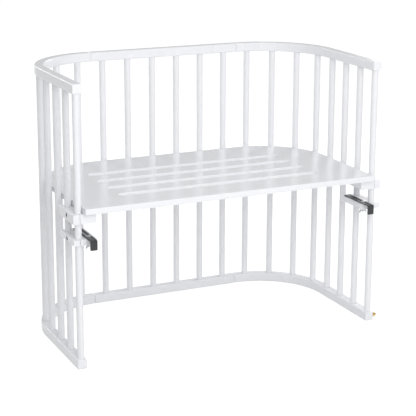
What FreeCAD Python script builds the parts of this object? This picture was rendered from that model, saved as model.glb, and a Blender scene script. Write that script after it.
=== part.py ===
import FreeCAD, Part
import math
import os

import Sketcher

# Bedside sleeper crib. Two U-shaped wooden rails, one on the floor and one on top, are held apart by
# round rods. A slotted sleeping board lies inside the U on wooden clamps that grip the rods, and two
# smaller clamps carry the steel hooks that hold the crib to a bed. Millimetres, Z up. The origin is
# on the floor under the middle of the back rods, and the open front faces -Y.

SIZES = {
    # frame
    "outer_width": 940.0,
    "outer_depth": 512.0,
    "outer_height": 788.0,
    "rail_width": 27.0,
    "rail_height": 27.0,
    "rail_bevel": 2.0,
    "bend_radius": 215.0,
    "rod_diameter": 19.0,
    "rod_inset": 14.0,
    # loose tenons across the seams of the rails
    "tenon_length": 40.0,
    "tenon_width": 12.0,
    "tenon_height": 10.0,
    "glue_gap": 0.05,
    "end_gap": 0.5,
    # sleeping board
    "board_top": 455.0,
    "board_thickness": 17.0,
    "board_gap": 1.2,
    "board_overhang": 19.0,
    "board_corner": 3.0,
    "slot_length": 625.0,
    "slot_width": 27.0,
    "slot_pitch": 81.6,
    "slot_setback": 106.0,
    # clamps
    "clamp_overhang": 17.5,
    "clamp_bore_gap": 0.3,
    "outer_bevel": 2.5,
    "outer_strip_depth": 18.7,
    "inner_bevel": 4.0,
    "inner_strip_depth": 46.2,
    "deck_clamp_height": 27.0,
    "hook_clamp_height": 16.0,
    "hook_clamp_top": 368.0,
    # heads of the clamp bolts
    "bolt_head": 11.0,
    "bolt_head_height": 6.0,
    "bolt_key": 5.0,
    "bolt_key_depth": 3.0,
    "bolt_recess": 13.0,
    "bolt_recess_depth": 8.0,
    # steel hooks
    "hook_plate": 3.0,
    "hook_width": 20.0,
    "hook_length": 136.0,
    "hook_reach": 31.5,
    "hook_drop": 28.0,
    "hook_bend": 5.0,
    "hook_corner": 2.5,
    "hook_slot_width": 6.6,
    "hook_slot_start": 22.0,
    "hook_slot_length": 96.0,
    # bolt and wing nut of each hook
    "stud_diameter": 6.0,
    "stud_head": 15.0,
    "stud_head_height": 3.6,
    "stud_bevel": 0.5,
    "stud_hole_gap": 0.25,
    "stud_inset": 16.0,
    "stud_tail": 3.0,
    "thread_gap": 0.05,
    "nut_hub": 10.0,
    "nut_hub_height": 8.0,
    "wing_span": 27.0,
    "wing_height": 13.5,
    "wing_plate": 2.6,
    "wing_rise": 5.0,
    "wing_tip": 6.0,
    "wing_cut": 2.0,
    "wing_root_low": 7.0,
    "wing_root_high": 1.2,
    "left_wing_turn": 35.0,
    "right_wing_turn": 8.0,
    # brass knob on the right foot
    "knob_flange": 15.0,
    "knob_tip": 9.0,
    "knob_length": 11.0,
    "knob_rim": 2.0,
    "knob_inset": 7.0,
    "knob_height": 15.0,
}

# How many rods stand in the middle rails, and in each side rail from the seam to the front end.
MIDDLE_RODS = 6
SIDE_RODS = 8
SLOT_COUNT = 4

# Lengths worked out from the sizes. The rods follow the rail's centre line: straight across the
# back, a quarter bend each side, then straight arms to the front.
HALF_SPAN = "((Sizes.outer_width - Sizes.rail_width) / 2)"
HALF_STRAIGHT = f"({HALF_SPAN} - Sizes.bend_radius)"
FRONT = "(Sizes.outer_depth - Sizes.rail_width / 2)"
BEND_LENGTH = "(Sizes.bend_radius * pi / 2)"
ARM_LENGTH = f"({FRONT} - Sizes.bend_radius)"
MIDDLE_PITCH = f"(2 * {HALF_STRAIGHT} / {MIDDLE_RODS})"
SIDE_PITCH = f"(({BEND_LENGTH} + {ARM_LENGTH} - Sizes.rod_inset) / {SIDE_RODS - 0.5})"
UPPER_FACE = "(Sizes.outer_height - Sizes.rail_height)"
ROD_RADIUS = "(Sizes.rod_diameter / 2)"
BOARD_BOTTOM = "(Sizes.board_top - Sizes.board_thickness)"
DECK_CLAMP_BASE = f"({BOARD_BOTTOM} - Sizes.deck_clamp_height)"
HOOK_CLAMP_BASE = "(Sizes.hook_clamp_top - Sizes.hook_clamp_height)"
ARM_CLAMP_Y = f"(-({FRONT} - Sizes.rod_inset - {SIDE_PITCH} / 2))"
BACK_CLAMP_X = f"(2 * {MIDDLE_PITCH})"
STUD_ACROSS = f"((Sizes.inner_strip_depth + {ROD_RADIUS}) / 2)"
HOOK_X = f"({HALF_SPAN} - {STUD_ACROSS})"
HOOK_FRONT = f"(-({FRONT} + Sizes.hook_reach))"
STUD_Y = f"({ARM_CLAMP_Y} - {SIDE_PITCH} / 2 - Sizes.clamp_overhang + Sizes.stud_inset)"

doc = FreeCAD.newDocument("BedsideCrib")
sheet = doc.addObject("Spreadsheet::Sheet", "Sizes")
for row, (alias, size) in enumerate(SIZES.items(), start=1):
    sheet.set(f"A{row}", alias)
    sheet.set(f"B{row}", str(size))
    sheet.setAlias(f"B{row}", alias)
doc.recompute()

PARTS = []


def number(expression):
    """What an expression of the sheet comes to, to start a sketch near its solution."""
    return float(sheet.evalExpression(str(expression)))


def bind(obj, **expressions):
    """Ties properties of an object to expressions; a double underscore stands for a dot."""
    for name, expression in expressions.items():
        obj.setExpression(name.replace("__", "."), str(expression))


def place(obj, x=0, y=0, z=0, axis=(0, 0, 1), angle=0):
    """Turns an object about an axis through its origin, then moves its origin to x, y, z."""
    turn = FreeCAD.Rotation(FreeCAD.Vector(*axis), angle)
    obj.Placement = FreeCAD.Placement(FreeCAD.Vector(0, 0, 0), turn)
    bind(obj, Placement__Base__x=x, Placement__Base__y=y, Placement__Base__z=z)


def keep(obj, label):
    """Names a finished sub-part and lists it for writing."""
    obj.Label = label
    PARTS.append(obj)
    return obj


# Sketch helpers: every point, radius and offset is tied to the sheet.


def sketch_on(body, name, role, offset=0):
    """An empty sketch on one of the body's origin planes, moved along the plane's normal."""
    sketch = body.newObject("Sketcher::SketchObject", name)
    plane = [feature for feature in body.Origin.OriginFeatures if feature.Role == role][0]
    sketch.AttachmentSupport = [(plane, "")]
    sketch.MapMode = "FlatFace"
    bind(sketch, AttachmentOffset__Base__z=offset)
    return sketch


def constrain(sketch, expression, *terms):
    """Adds a sized constraint and ties it to an expression."""
    index = sketch.addConstraint(Sketcher.Constraint(*terms, number(expression)))
    sketch.setExpression(f"Constraints[{index}]", str(expression))


def pin_point(sketch, edge, end, x, y):
    """Fixes one end of an edge at x, y from the sketch origin."""
    constrain(sketch, x, "DistanceX", -1, 1, edge, end)
    constrain(sketch, y, "DistanceY", -1, 1, edge, end)


def arc_edge(start, stop, centre):
    """An arc between two points and whether it runs from start to stop the way it is stored."""
    first, last = start - centre, stop - centre
    forward = first.cross(last).z > -1e-6
    if not forward:
        first, last = last, first
    circle = Part.Circle(centre, FreeCAD.Vector(0, 0, 1), first.Length)
    angles = [math.atan2(ray.y, ray.x) for ray in (first, last)]
    return Part.ArcOfCircle(circle, *angles), forward


def outline(sketch, corners, arcs=None):
    """A closed outline through the corners. arcs maps the number of a corner to the centre of the arc
    that runs from it to the next corner; the other edges are straight."""
    arcs = arcs or {}
    points = [FreeCAD.Vector(number(x), number(y), 0) for x, y in corners]
    ends = []
    for index, start in enumerate(points):
        stop = points[(index + 1) % len(points)]
        if index in arcs:
            centre = FreeCAD.Vector(*[number(value) for value in arcs[index]], 0)
            curve, forward = arc_edge(start, stop, centre)
        else:
            curve, forward = Part.LineSegment(start, stop), True
        edge = sketch.addGeometry(curve)
        ends.append((edge, 1, 2) if forward else (edge, 2, 1))
    for index, (edge, first, last) in enumerate(ends):
        next_edge, next_first, _ = ends[(index + 1) % len(ends)]
        sketch.addConstraint(Sketcher.Constraint("Coincident", edge, last, next_edge, next_first))
        pin_point(sketch, edge, first, *corners[index])
        if index in arcs:
            centre_x, centre_y = arcs[index]
            chord = points[(index + 1) % len(points)] - points[index]
            if abs(chord.x) > abs(chord.y):
                constrain(sketch, centre_y, "DistanceY", -1, 1, edge, 3)
            else:
                constrain(sketch, centre_x, "DistanceX", -1, 1, edge, 3)


def rectangle(sketch, left, right, low, high):
    """A rectangle between two pairs of sides."""
    outline(sketch, [(left, low), (right, low), (right, high), (left, high)])


def circles(sketch, centres, radius):
    """Equal circles at the given centres."""
    for x, y in centres:
        centre = FreeCAD.Vector(number(x), number(y), 0)
        edge = sketch.addGeometry(Part.Circle(centre, FreeCAD.Vector(0, 0, 1), number(radius)))
        pin_point(sketch, edge, 3, x, y)
        constrain(sketch, radius, "Radius", edge)


# Feature helpers


def pad(body, name, sketch, length, midplane=False):
    """Thickens a sketch along its normal, or half to each side of it."""
    feature = body.newObject("PartDesign::Pad", name)
    feature.Profile = sketch
    feature.Midplane = midplane
    bind(feature, Length=length)
    doc.recompute()
    return feature


def pocket(body, name, sketch, depth=None, along_normal=False, midplane=False):
    """Cuts a sketch to a depth, or right through, and makes sure that something was cut."""
    before = body.Shape.Volume
    feature = body.newObject("PartDesign::Pocket", name)
    feature.Profile = sketch
    feature.Reversed = along_normal
    feature.Midplane = midplane
    if depth is None:
        feature.Type = "ThroughAll"
    else:
        bind(feature, Length=depth)
    doc.recompute()
    if not body.Shape.Volume < before:
        raise RuntimeError(f"{body.Name}: {name} cuts nothing")
    return feature


def revolve(body, name, sketch):
    """Turns a sketch once round the body's own Z axis."""
    feature = body.newObject("PartDesign::Revolution", name)
    feature.Profile = sketch
    axis = [item for item in body.Origin.OriginFeatures if item.Role == "Z_Axis"][0]
    feature.ReferenceAxis = (axis, [""])
    feature.Angle = 360
    doc.recompute()
    return feature


def is_sharp(shape, edge):
    """True where the two faces at an edge meet at an angle."""
    faces = shape.ancestorsOfType(edge, Part.Face)
    if len(faces) != 2:
        return False
    point = edge.valueAt((edge.FirstParameter + edge.LastParameter) / 2)
    normals = [face.normalAt(*face.Surface.parameter(point)) for face in faces]
    return normals[0].getAngle(normals[1]) > 0.2


def sharp_edges(shape, wanted):
    """Names of the sharp edges that the wanted function picks by their middle point and direction."""
    names = []
    for index, edge in enumerate(shape.Edges, start=1):
        middle = (edge.FirstParameter + edge.LastParameter) / 2
        if is_sharp(shape, edge) and wanted(edge.valueAt(middle), edge.tangentAt(middle)):
            names.append(f"Edge{index}")
    return names


def round_edges(body, name, base, radius, wanted):
    """Rounds the wanted sharp edges of a feature."""
    feature = body.newObject("PartDesign::Fillet", name)
    feature.Base = (base, sharp_edges(base.Shape, wanted))
    bind(feature, Radius=radius)
    doc.recompute()
    return feature


def bevel_edges(body, name, base, size, wanted):
    """Bevels the wanted sharp edges of a feature."""
    feature = body.newObject("PartDesign::Chamfer", name)
    feature.Base = (base, sharp_edges(base.Shape, wanted))
    bind(feature, Size=size)
    doc.recompute()
    return feature


def is_upright(middle, direction):
    return abs(direction.z) > 0.99


def mirrored(source, label):
    """The left-hand twin of a right-hand piece."""
    twin = doc.addObject("Part::Mirroring", label)
    twin.Source = source
    twin.Normal = FreeCAD.Vector(1, 0, 0)
    twin.Base = FreeCAD.Vector(0, 0, 0)
    return keep(twin, label)


def grouped(pieces, label):
    """Identical fasteners that share one sub-part."""
    group = doc.addObject("Part::Compound", label)
    group.Links = pieces
    return keep(group, label)


# Rods


def side_rod_point(index):
    """Centre of a rod in the right side rail, counted from the seam: on the bend or on the arm."""
    travel = f"({index - 0.5} * {SIDE_PITCH})"
    turn = f"({travel} / Sizes.bend_radius * 1 rad)"
    on_bend = f"{travel} < {BEND_LENGTH}"
    x = f"({on_bend} ? {HALF_STRAIGHT} + Sizes.bend_radius * sin({turn}) : {HALF_SPAN})"
    y_on_bend = f"-Sizes.bend_radius * (1 - cos({turn}))"
    y_on_arm = f"-{travel} + {BEND_LENGTH} - Sizes.bend_radius"
    return x, f"({on_bend} ? {y_on_bend} : {y_on_arm})"


def middle_rod_point(index):
    """Centre of a rod in the right half of the middle rail, counted from the middle."""
    return f"({index - 0.5} * {MIDDLE_PITCH})", "0"


SIDE_POINTS = [side_rod_point(index) for index in range(1, SIDE_RODS + 1)]
MIDDLE_POINTS = [middle_rod_point(index) for index in range(1, MIDDLE_RODS // 2 + 1)]


def mirror_points(points):
    return [(f"(-{x})", y) for x, y in points]


def build_rods():
    """All rods, numbered from the left front round the back to the right front."""
    right = MIDDLE_POINTS + SIDE_POINTS
    left = mirror_points(right[::-1])
    for index, (x, y) in enumerate(left + right, start=1):
        rod = doc.addObject("Part::Cylinder", f"rod_{index:02d}")
        bind(rod, Radius=ROD_RADIUS, Height=f"{UPPER_FACE} - Sizes.rail_height")
        place(rod, x, y, "Sizes.rail_height")
        keep(rod, rod.Name)


# Rails


def rail_blank(body, upper, corners, arcs=None):
    """A rail of even height with bevelled ends, which leave a V groove at each seam."""
    base = UPPER_FACE if upper else "0"
    sketch = sketch_on(body, body.Name + "_plan", "XY_Plane", base)
    outline(sketch, corners, arcs)
    blank = pad(body, body.Name + "_blank", sketch, "Sizes.rail_height")
    bevel_edges(body, body.Name + "_bevelled", blank, "Sizes.rail_bevel", on_end_face)


def on_end_face(middle, direction):
    """The edges round a rail's ends, at a seam or at the open front."""
    at_seam = abs(abs(middle.x) - number(HALF_STRAIGHT)) < 0.01
    return at_seam or abs(middle.y + number(FRONT)) < 0.01


def mortise(body, upper, seam_x, into_plus_x, name):
    """The pocket for a loose tenon in the end face at a seam."""
    middle = f"({UPPER_FACE} + Sizes.rail_height / 2)" if upper else "(Sizes.rail_height / 2)"
    half_width = "(Sizes.tenon_width / 2 + Sizes.glue_gap)"
    half_height = "(Sizes.tenon_height / 2 + Sizes.glue_gap)"
    sketch = sketch_on(body, f"{body.Name}_{name}", "YZ_Plane", seam_x)
    low, high = f"({middle} - {half_height})", f"({middle} + {half_height})"
    rectangle(sketch, f"-{half_width}", half_width, low, high)
    depth = "Sizes.tenon_length / 2 + Sizes.end_gap"
    pocket(body, f"{body.Name}_{name}_mortise", sketch, depth, along_normal=into_plus_x)


def side_rails(label, upper):
    """The arm and bend of a rail, with a mortise at the seam, on the right and mirrored on the left."""
    body = doc.addObject("PartDesign::Body", label)
    outer_x = f"({HALF_SPAN} + Sizes.rail_width / 2)"
    inner_x = f"({HALF_SPAN} - Sizes.rail_width / 2)"
    corners = [
        (inner_x, f"-{FRONT}"),
        (outer_x, f"-{FRONT}"),
        (outer_x, "-Sizes.bend_radius"),
        (HALF_STRAIGHT, "Sizes.rail_width / 2"),
        (HALF_STRAIGHT, "-Sizes.rail_width / 2"),
        (inner_x, "-Sizes.bend_radius"),
    ]
    centre = (HALF_STRAIGHT, "-Sizes.bend_radius")
    rail_blank(body, upper, corners, {2: centre, 4: centre})
    mortise(body, upper, HALF_STRAIGHT, True, "seam")
    keep(body, label)
    mirrored(body, label.replace("right", "left"))


def middle_rail(label, upper):
    """The straight back piece between the two seams."""
    body = doc.addObject("PartDesign::Body", label)
    left, right = f"-{HALF_STRAIGHT}", HALF_STRAIGHT
    near, far = "-Sizes.rail_width / 2", "Sizes.rail_width / 2"
    rail_blank(body, upper, [(left, near), (right, near), (right, far), (left, far)])
    mortise(body, upper, right, False, "right")
    mortise(body, upper, left, True, "left")
    keep(body, label)


def build_rails():
    """Three pieces above and three on the floor."""
    for height, upper in (("top", True), ("bottom", False)):
        side_rails(f"{height}_rail_right", upper)
        middle_rail(f"{height}_rail_middle", upper)


def build_tenons():
    """A loose tenon across each of the four seams."""
    tenons = []
    for level, base in (("low", "0"), ("high", UPPER_FACE)):
        for side, seam in (("left", f"-{HALF_STRAIGHT}"), ("right", HALF_STRAIGHT)):
            tenon = doc.addObject("Part::Box", f"tenon_{level}_{side}")
            bind(tenon, Length="Sizes.tenon_length", Width="Sizes.tenon_width", Height="Sizes.tenon_height")
            height = f"{base} + (Sizes.rail_height - Sizes.tenon_height) / 2"
            place(tenon, f"{seam} - Sizes.tenon_length / 2", "-Sizes.tenon_width / 2", height)
            tenons.append(tenon)
    grouped(tenons, "seam_tenons")


# Sleeping board

SLOT_ROWS = [
    f"(-{FRONT} - Sizes.board_overhang + Sizes.slot_setback + {index} * Sizes.slot_pitch)"
    for index in range(SLOT_COUNT)
]


def build_board():
    """A flat board that follows the bend just inside the rods, with rounded air slots."""
    body = doc.addObject("PartDesign::Body", "sleeping_board")
    side = f"({HALF_SPAN} - {ROD_RADIUS} - Sizes.board_gap)"
    back = f"(-{ROD_RADIUS} - Sizes.board_gap)"
    front = f"(-{FRONT} - Sizes.board_overhang)"
    corners = [
        (f"-{side}", front),
        (side, front),
        (side, "-Sizes.bend_radius"),
        (HALF_STRAIGHT, back),
        (f"-{HALF_STRAIGHT}", back),
        (f"-{side}", "-Sizes.bend_radius"),
    ]
    arcs = {
        2: (HALF_STRAIGHT, "-Sizes.bend_radius"),
        4: (f"-{HALF_STRAIGHT}", "-Sizes.bend_radius"),
    }
    plan = sketch_on(body, "board_plan", "XY_Plane", BOARD_BOTTOM)
    outline(plan, corners, arcs)
    blank = pad(body, "board_blank", plan, "Sizes.board_thickness")
    round_edges(body, "board_corners", blank, "Sizes.board_corner", is_upright)
    for index, row in enumerate(SLOT_ROWS):
        cut_board_slot(body, index, row)
    keep(body, "sleeping_board")


def cut_board_slot(body, index, row):
    """One long air slot with round ends."""
    sketch = sketch_on(body, f"board_slot_{index}", "XY_Plane", "Sizes.board_top")
    long_slot(sketch, "(Sizes.slot_length / 2)", row, "(Sizes.slot_width / 2)")
    pocket(body, f"board_slot_cut_{index}", sketch)


def long_slot(sketch, reach, centre_y, radius):
    """A slot along the sketch's X, round at both ends, reaching as far each way."""
    straight = f"({reach} - {radius})"
    low, high = f"({centre_y} - {radius})", f"({centre_y} + {radius})"
    corners = [(f"-{straight}", low), (straight, low), (straight, high), (f"-{straight}", high)]
    outline(sketch, corners, {1: (straight, centre_y), 3: (f"-{straight}", centre_y)})


# Clamps. Each clamp has an outer strip and a wider inner strip that meet across two neighbouring
# rods. Both are drawn along X with the rods at Y 0 and the outer strip on the +Y side, then turned to
# their place on the arm, or left as they are on the back rods.


def clamp_strip(label, outer, pitch, height):
    """One half of a clamp: a bar with a half groove for each of its two rods."""
    body = doc.addObject("PartDesign::Body", label)
    half = f"({pitch} / 2 + Sizes.clamp_overhang)"
    plan = sketch_on(body, label + "_plan", "XY_Plane")
    if outer:
        rectangle(plan, f"-{half}", half, "0", "Sizes.outer_strip_depth")
    else:
        rectangle(plan, f"-{half}", half, "-Sizes.inner_strip_depth", "0")
    blank = pad(body, label + "_blank", plan, height)
    if outer:
        bevel_edges(body, label + "_bevelled", blank, "Sizes.outer_bevel", on_outer_face)
    else:
        bevel_edges(body, label + "_bevelled", blank, "Sizes.inner_bevel", is_lower_inner)
    grooves = sketch_on(body, label + "_grooves", "XY_Plane", height)
    centres = [(f"(-{pitch} / 2)", "0"), (f"({pitch} / 2)", "0")]
    circles(grooves, centres, f"{ROD_RADIUS} + Sizes.clamp_bore_gap")
    pocket(body, label + "_rod_grooves", grooves)
    if outer:
        bolt_recess(body, label, height)
    return body


def on_outer_face(middle, direction):
    """The four edges round the face that an outer strip shows to the outside."""
    return abs(middle.y - number("Sizes.outer_strip_depth")) < 0.01


def is_lower_inner(middle, direction):
    """The lower long edge of an inner strip, on the side away from the rods."""
    return abs(middle.y + number("Sizes.inner_strip_depth")) < 0.01 and middle.z < 0.01


def bolt_recess(body, label, height):
    """The round recess in an outer strip for the head of the clamp bolt."""
    recess = sketch_on(body, label + "_recess", "XZ_Plane", "-Sizes.outer_strip_depth")
    circles(recess, [("0", f"({height} / 2)")], "Sizes.bolt_recess / 2")
    pocket(body, label + "_head_recess", recess, "Sizes.bolt_recess_depth", along_normal=True)


def stud_hole(body, label):
    """The hook bolt's hole down through the inner strip of a hook clamp."""
    hole = sketch_on(body, label + "_stud", "XY_Plane", "Sizes.hook_clamp_height")
    along = f"({SIDE_PITCH} / 2 + Sizes.clamp_overhang - Sizes.stud_inset)"
    circles(hole, [(along, f"(-{STUD_ACROSS})")], "Sizes.stud_diameter / 2 + Sizes.stud_hole_gap")
    pocket(body, label + "_stud_hole", hole)


def build_clamps():
    """Four clamps under the board and two hook clamps below them on the front rods."""
    for part, outer in (("outer", True), ("inner", False)):
        front = clamp_strip(f"deck_clamp_right_{part}", outer, SIDE_PITCH, "Sizes.deck_clamp_height")
        back = clamp_strip(f"back_clamp_right_{part}", outer, MIDDLE_PITCH, "Sizes.deck_clamp_height")
        hook = clamp_strip(f"hook_clamp_right_{part}", outer, SIDE_PITCH, "Sizes.hook_clamp_height")
        if not outer:
            stud_hole(hook, hook.Name)
        place(front, HALF_SPAN, ARM_CLAMP_Y, DECK_CLAMP_BASE, angle=-90)
        place(back, BACK_CLAMP_X, 0, DECK_CLAMP_BASE)
        place(hook, HALF_SPAN, ARM_CLAMP_Y, HOOK_CLAMP_BASE, angle=-90)
        for strip in (front, back, hook):
            keep(strip, strip.Name)
            mirrored(strip, strip.Name.replace("right", "left"))


# Clamp bolts


def clamp_bolt(name):
    """The head of a cap screw with a hexagon socket, seated at Z 0 and facing up. Its shank is inside
    solid wood on every side and is left out."""
    head = doc.addObject("Part::Cylinder", name + "_head")
    bind(head, Radius="Sizes.bolt_head / 2", Height="Sizes.bolt_head_height")
    key = doc.addObject("Part::Prism", name + "_key")
    key.Polygon = 6
    bind(key, Circumradius="Sizes.bolt_key / 2 / cos(30)", Height="Sizes.bolt_key_depth")
    place(key, z="Sizes.bolt_head_height - Sizes.bolt_key_depth")
    bolt = doc.addObject("Part::Cut", name)
    bolt.Base = head
    bolt.Tool = key
    return bolt


def left_twin(source):
    """A mirrored copy that shares a sub-part with its source."""
    twin = doc.addObject("Part::Mirroring", source.Name + "_twin")
    twin.Source = source
    twin.Normal = FreeCAD.Vector(1, 0, 0)
    return twin


def arm_bolt(name, base, height):
    """The bolt of a clamp on the right arm, facing right."""
    bolt = clamp_bolt(name)
    seat = f"{HALF_SPAN} + Sizes.outer_strip_depth - Sizes.bolt_recess_depth"
    place(bolt, seat, ARM_CLAMP_Y, f"{base} + {height} / 2", (0, 1, 0), 90)
    return bolt


def back_bolt(name):
    """The bolt of a clamp on the back rods, facing back."""
    bolt = clamp_bolt(name)
    height = f"{DECK_CLAMP_BASE} + Sizes.deck_clamp_height / 2"
    place(bolt, BACK_CLAMP_X, "Sizes.outer_strip_depth - Sizes.bolt_recess_depth", height, (1, 0, 0), -90)
    return bolt


def build_clamp_bolts():
    """A bolt for each clamp. Those under the board move together and are grouped."""
    front = arm_bolt("front_bolt", DECK_CLAMP_BASE, "Sizes.deck_clamp_height")
    back = back_bolt("back_bolt")
    grouped([front, left_twin(front), back, left_twin(back)], "deck_clamp_bolts")
    hook = arm_bolt("hook_clamp_bolt_right", HOOK_CLAMP_BASE, "Sizes.hook_clamp_height")
    keep(hook, "hook_clamp_bolt_right")
    mirrored(hook, "hook_clamp_bolt_left")


# Steel hooks


def steel_hook():
    """A flat bar with a long slot and its front end bent down, drawn with the bent end at Y 0 and the
    underside of the bar at Z 0."""
    body = doc.addObject("PartDesign::Body", "steel_hook_right")
    plate, bend = "Sizes.hook_plate", "Sizes.hook_bend"
    foot = "(Sizes.hook_plate - Sizes.hook_drop)"
    corners = [
        ("0", foot),
        (plate, foot),
        (plate, f"({plate} - {bend})"),
        (bend, "0"),
        ("Sizes.hook_length", "0"),
        ("Sizes.hook_length", plate),
        (bend, plate),
        ("0", f"({plate} - {bend})"),
    ]
    centre = (bend, f"({plate} - {bend})")
    side = sketch_on(body, "hook_side", "YZ_Plane")
    outline(side, corners, {2: centre, 6: centre})
    bar = pad(body, "hook_bar", side, "Sizes.hook_width", midplane=True)
    low, back = number(foot), number("Sizes.hook_length")

    def corner_edge(middle, direction):
        """The four short edges at the ends of the bar."""
        at_foot = abs(middle.z - low) < 0.01 and abs(direction.y) > 0.99
        at_back = abs(middle.y - back) < 0.01 and abs(direction.z) > 0.99
        return at_foot or at_back

    bevel_edges(body, "hook_corners", bar, "Sizes.hook_corner", corner_edge)
    slot = sketch_on(body, "hook_slot", "XY_Plane", plate)
    radius = "(Sizes.hook_slot_width / 2)"
    first = f"(Sizes.hook_slot_start + {radius})"
    last = f"(Sizes.hook_slot_start + Sizes.hook_slot_length - {radius})"
    rim = [(radius, first), (radius, last), (f"-{radius}", last), (f"-{radius}", first)]
    outline(slot, rim, {1: ("0", last), 3: ("0", first)})
    pocket(body, "hook_slot_cut", slot)
    place(body, HOOK_X, HOOK_FRONT, "Sizes.hook_clamp_top")
    keep(body, "steel_hook_right")
    mirrored(body, "steel_hook_left")


def hook_bolt():
    """A bolt with a wide low head and a square neck that keeps it from turning in the hook's slot;
    the head's underside is at Z 0."""
    body = doc.addObject("PartDesign::Body", "hook_bolt_right")
    shank, reach = "(Sizes.stud_diameter / 2)", "(Sizes.stud_head / 2)"
    grip = "Sizes.hook_plate + Sizes.hook_clamp_height + Sizes.nut_hub_height"
    tail = f"(-({grip} + Sizes.stud_tail))"
    corners = [
        ("0", tail),
        (shank, tail),
        (shank, "0"),
        (reach, "0"),
        (reach, "(Sizes.stud_head_height - Sizes.stud_bevel)"),
        (f"({reach} - Sizes.stud_bevel)", "Sizes.stud_head_height"),
        ("0", "Sizes.stud_head_height"),
    ]
    side = sketch_on(body, "stud_side", "XZ_Plane")
    outline(side, corners)
    revolve(body, "stud_turned", side)
    neck = sketch_on(body, "stud_neck", "XY_Plane", "-Sizes.hook_plate")
    rectangle(neck, f"-{shank}", shank, f"-{shank}", shank)
    pad(body, "stud_square", neck, "Sizes.hook_plate")
    place(body, HOOK_X, STUD_Y, "Sizes.hook_clamp_top + Sizes.hook_plate")
    keep(body, "hook_bolt_right")
    mirrored(body, "hook_bolt_left")


def wing_nut(label, x, turn):
    """A wing nut whose ears hang down and out from a round hub; its seat is at Z 0."""
    body = doc.addObject("PartDesign::Body", label)
    bore = "(Sizes.stud_diameter / 2 + Sizes.thread_gap)"
    tip = "(-Sizes.nut_hub_height)"
    hub = sketch_on(body, label + "_hub_side", "XZ_Plane")
    rectangle(hub, bore, "Sizes.nut_hub / 2", tip, "0")
    revolve(body, label + "_hub", hub)
    root = "(Sizes.nut_hub / 2 - Sizes.end_gap)"
    out = "(Sizes.wing_span / 2)"
    ear = [
        (root, "-Sizes.wing_root_low"),
        (f"({out} - Sizes.wing_tip)", "-Sizes.wing_height"),
        (f"({out} - Sizes.wing_cut)", "-Sizes.wing_height"),
        (out, "-(Sizes.wing_height - Sizes.wing_cut)"),
        (out, "-Sizes.wing_rise"),
        (root, "-Sizes.wing_root_high"),
    ]
    ears = sketch_on(body, label + "_ears_side", "XZ_Plane")
    outline(ears, ear)
    outline(ears, mirror_points(ear)[::-1])
    pad(body, label + "_ears", ears, "Sizes.wing_plate", midplane=True)
    place(body, x, STUD_Y, HOOK_CLAMP_BASE, angle=number(turn))
    bind(body, Placement__Rotation__Angle=turn)
    keep(body, label)


def brass_knob():
    """A turned brass knob with a flange, on the outer side of the right foot."""
    body = doc.addObject("PartDesign::Body", "brass_knob")
    side = sketch_on(body, "knob_side", "XZ_Plane")
    flange, tip = "(Sizes.knob_flange / 2)", "(Sizes.knob_tip / 2)"
    corners = [
        ("0", "0"),
        (flange, "0"),
        (flange, "Sizes.knob_rim"),
        (tip, "Sizes.knob_rim"),
        (tip, "Sizes.knob_length"),
        ("0", "Sizes.knob_length"),
    ]
    outline(side, corners)
    revolve(body, "knob_turned", side)
    outside = f"{HALF_SPAN} + Sizes.rail_width / 2"
    place(body, outside, f"-{FRONT} + Sizes.knob_inset", "Sizes.knob_height", (0, 1, 0), 90)
    keep(body, "brass_knob")


build_rails()
build_tenons()
build_rods()
build_board()
build_clamps()
build_clamp_bolts()
steel_hook()
hook_bolt()
wing_nut("wing_nut_right", HOOK_X, "Sizes.right_wing_turn")
wing_nut("wing_nut_left", f"-{HOOK_X}", "Sizes.left_wing_turn")
brass_knob()

doc.recompute()

for obj in doc.Objects:
    if "Invalid" in obj.State or "Error" in obj.State:
        raise RuntimeError(f"{obj.Name} failed: {obj.State}")
for part in PARTS:
    if part.Shape.isNull() or not part.Shape.isValid():
        raise RuntimeError(f"{part.Label} has no valid shape")

os.makedirs("parts", exist_ok=True)
for part in PARTS:
    part.Shape.exportStep(f"parts/{part.Label}.step")
    print(f"{part.Label}: {len(part.Shape.Solids)} solid(s), {part.Shape.Volume / 1000:.1f} cm3")
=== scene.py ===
import math

import bmesh
import bpy
from mathutils import Matrix, Vector


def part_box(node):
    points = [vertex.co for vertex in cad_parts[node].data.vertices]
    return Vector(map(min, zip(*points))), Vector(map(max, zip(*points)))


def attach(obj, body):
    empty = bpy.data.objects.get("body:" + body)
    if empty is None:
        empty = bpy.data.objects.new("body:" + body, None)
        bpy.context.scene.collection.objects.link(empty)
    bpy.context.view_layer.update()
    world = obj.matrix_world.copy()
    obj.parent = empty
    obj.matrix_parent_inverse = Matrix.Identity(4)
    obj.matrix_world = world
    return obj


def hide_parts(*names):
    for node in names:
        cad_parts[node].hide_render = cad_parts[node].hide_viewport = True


# Bedside sleeper crib, dressed in white lacquer. Metres, Z up, the open front faces -Y. Every piece but
# the hidden tenons is modelled here, at the place and size of its CAD node.

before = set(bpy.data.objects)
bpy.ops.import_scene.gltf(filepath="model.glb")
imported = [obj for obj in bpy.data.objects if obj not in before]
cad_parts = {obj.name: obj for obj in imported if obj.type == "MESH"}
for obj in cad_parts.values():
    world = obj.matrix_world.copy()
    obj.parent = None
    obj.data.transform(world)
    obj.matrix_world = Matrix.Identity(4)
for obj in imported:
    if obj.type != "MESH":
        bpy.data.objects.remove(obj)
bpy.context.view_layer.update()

MM = 0.001
SIDES = {"right": 1, "left": -1}

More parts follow.
